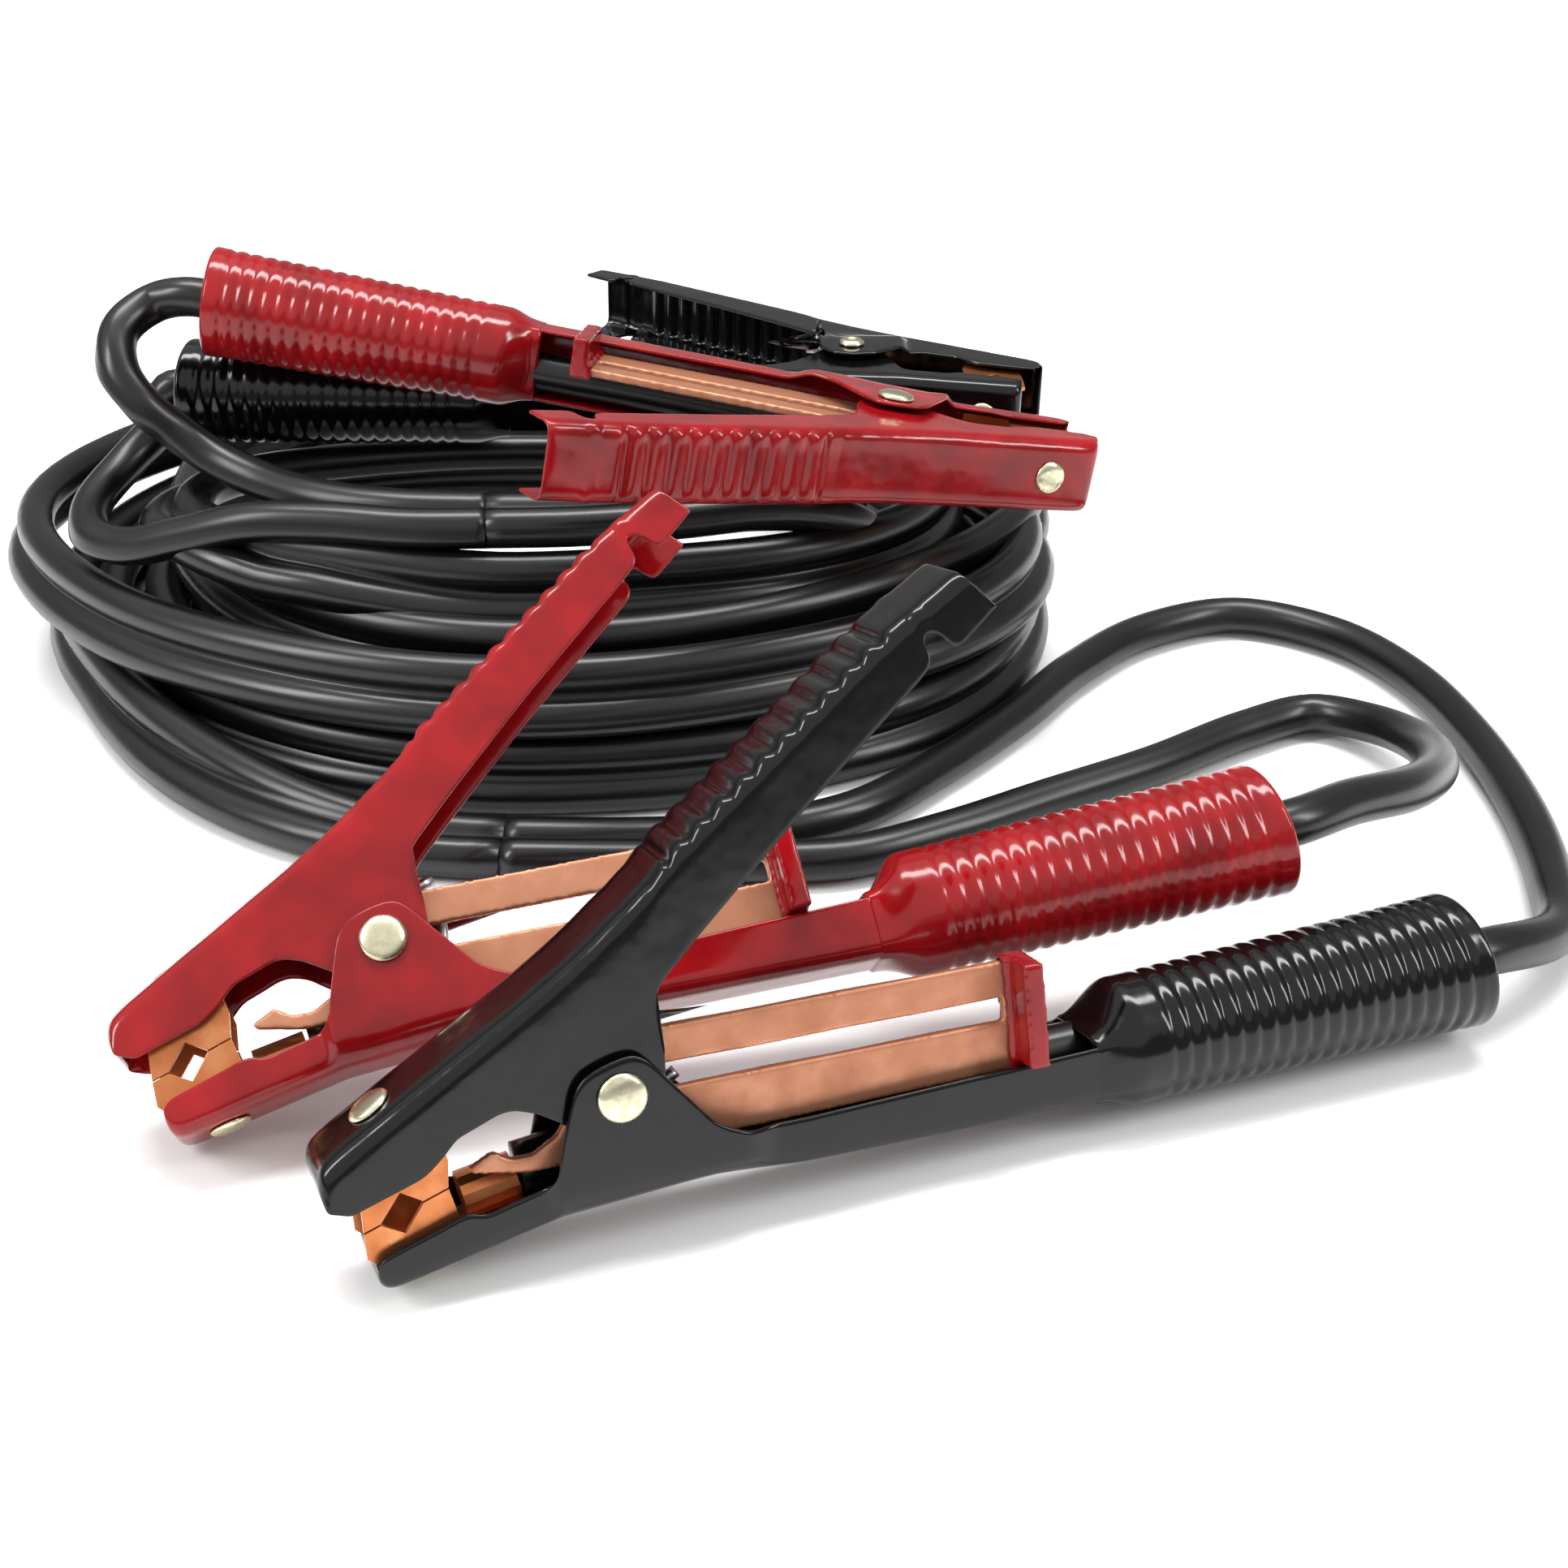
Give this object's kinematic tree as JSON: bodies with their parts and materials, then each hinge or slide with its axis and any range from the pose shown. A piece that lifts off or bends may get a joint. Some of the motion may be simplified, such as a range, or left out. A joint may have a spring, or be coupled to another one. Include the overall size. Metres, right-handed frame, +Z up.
{
  "type": "jumper cable set",
  "caption": "Coiled twin cable split at both ends to spring clamps with vinyl-dipped channel levers, copper contacts and slotted sliding side-terminal blades.",
  "frame": {"origin": "on the ground, under the middle of the box around the four clamps", "axes": "+Z up; +Y away from the side that the two front clamps lie on; +X to the right seen from that side"},
  "size_m": [0.4014, 0.4514, 0.116],
  "materials": {
    "red_vinyl": "glossy dipped vinyl over steel",
    "black_vinyl": "glossy dipped vinyl over steel",
    "cable_jacket": "satin extruded jacket",
    "copper": "satin rolled copper",
    "zinc_steel": "zinc plated",
    "spring_steel": "drawn wire"
  },
  "bodies": {
    "cable_set": {"cable_coil": "cable_jacket", "front_black_lower_lever": "black_vinyl", "front_black_pivot_rivet": "zinc_steel", "front_black_spring": "spring_steel", "front_black_lower_contact": "copper", "front_black_lower_contact_rivet": "zinc_steel", "front_black_lead": "cable_jacket", "front_red_lower_lever": "red_vinyl", "front_red_pivot_rivet": "zinc_steel", "front_red_spring": "spring_steel", "front_red_lower_contact": "copper", "front_red_lower_contact_rivet": "zinc_steel", "front_red_lead": "cable_jacket", "back_red_lower_lever": "red_vinyl", "back_red_pivot_rivet": "zinc_steel", "back_red_spring": "spring_steel", "back_red_lower_contact": "copper", "back_red_lower_contact_rivet": "zinc_steel", "back_red_lead": "cable_jacket", "back_black_lower_lever": "black_vinyl", "back_black_pivot_rivet": "zinc_steel", "back_black_spring": "spring_steel", "back_black_lower_contact": "copper", "back_black_lower_contact_rivet": "zinc_steel", "back_black_lead": "cable_jacket"},
    "front_black_hand_lever": {"front_black_upper_lever": "black_vinyl", "front_black_upper_contact": "copper", "front_black_upper_contact_rivet": "zinc_steel"},
    "front_black_adapter": {"front_black_adapter_blade": "copper", "front_black_adapter_tab": "red_vinyl"},
    "front_red_hand_lever": {"front_red_upper_lever": "red_vinyl", "front_red_upper_contact": "copper", "front_red_upper_contact_rivet": "zinc_steel"},
    "front_red_adapter": {"front_red_adapter_blade": "copper", "front_red_adapter_tab": "red_vinyl"},
    "back_red_hand_lever": {"back_red_upper_lever": "red_vinyl", "back_red_upper_contact": "copper", "back_red_upper_contact_rivet": "zinc_steel"},
    "back_red_adapter": {"back_red_adapter_blade": "copper", "back_red_adapter_tab": "red_vinyl"},
    "back_black_hand_lever": {"back_black_upper_lever": "black_vinyl", "back_black_upper_contact": "copper", "back_black_upper_contact_rivet": "zinc_steel"},
    "back_black_adapter": {"back_black_adapter_blade": "copper", "back_black_adapter_tab": "red_vinyl"}
  },
  "joints": [
    {"name": "front_black_jaw", "type": "hinge", "parent": "cable_set", "child": "front_black_hand_lever", "pos_m": [-0.02237, -0.16413, 0.02923], "axis": [-0.3422, 0.908, -0.2419], "range_deg": [0, 30], "stiffness_Nm_per_rad": 3.6, "springref_deg": -28.65},
    {"name": "front_black_adapter_slide", "type": "slide", "parent": "cable_set", "child": "front_black_adapter", "axis": [-0.937, -0.349, 0.0155], "range_m": [0, 0.022]},
    {"name": "front_red_jaw", "type": "hinge", "parent": "cable_set", "child": "front_red_hand_lever", "pos_m": [-0.06737, -0.12413, 0.03036], "axis": [-0.1235, 0.7124, -0.6909], "range_deg": [0, 30], "stiffness_Nm_per_rad": 3.6, "springref_deg": -28.65},
    {"name": "front_red_adapter_slide", "type": "slide", "parent": "cable_set", "child": "front_red_adapter", "axis": [-0.9661, -0.2452, -0.0802], "range_m": [0, 0.022]},
    {"name": "back_red_jaw", "type": "hinge", "parent": "cable_set", "child": "back_red_hand_lever", "pos_m": [0.03563, 0.04687, 0.07524], "axis": [-0.1686, -0.0882, -0.9817], "range_deg": [0, 30], "stiffness_Nm_per_rad": 3.6, "springref_deg": -28.65},
    {"name": "back_red_adapter_slide", "type": "slide", "parent": "cable_set", "child": "back_red_adapter", "axis": [0.9789, -0.1317, -0.1563], "range_m": [0, 0.022]},
    {"name": "back_black_jaw", "type": "hinge", "parent": "cable_set", "child": "back_black_hand_lever", "pos_m": [0.02813, 0.11387, 0.06964], "axis": [0.0209, -0.0175, 0.9996], "range_deg": [0, 30], "stiffness_Nm_per_rad": 3.6, "springref_deg": -28.65},
    {"name": "back_black_adapter_slide", "type": "slide", "parent": "cable_set", "child": "back_black_adapter", "axis": [0.9992, 0.034, -0.0203], "range_m": [0, 0.022]}
  ]
}
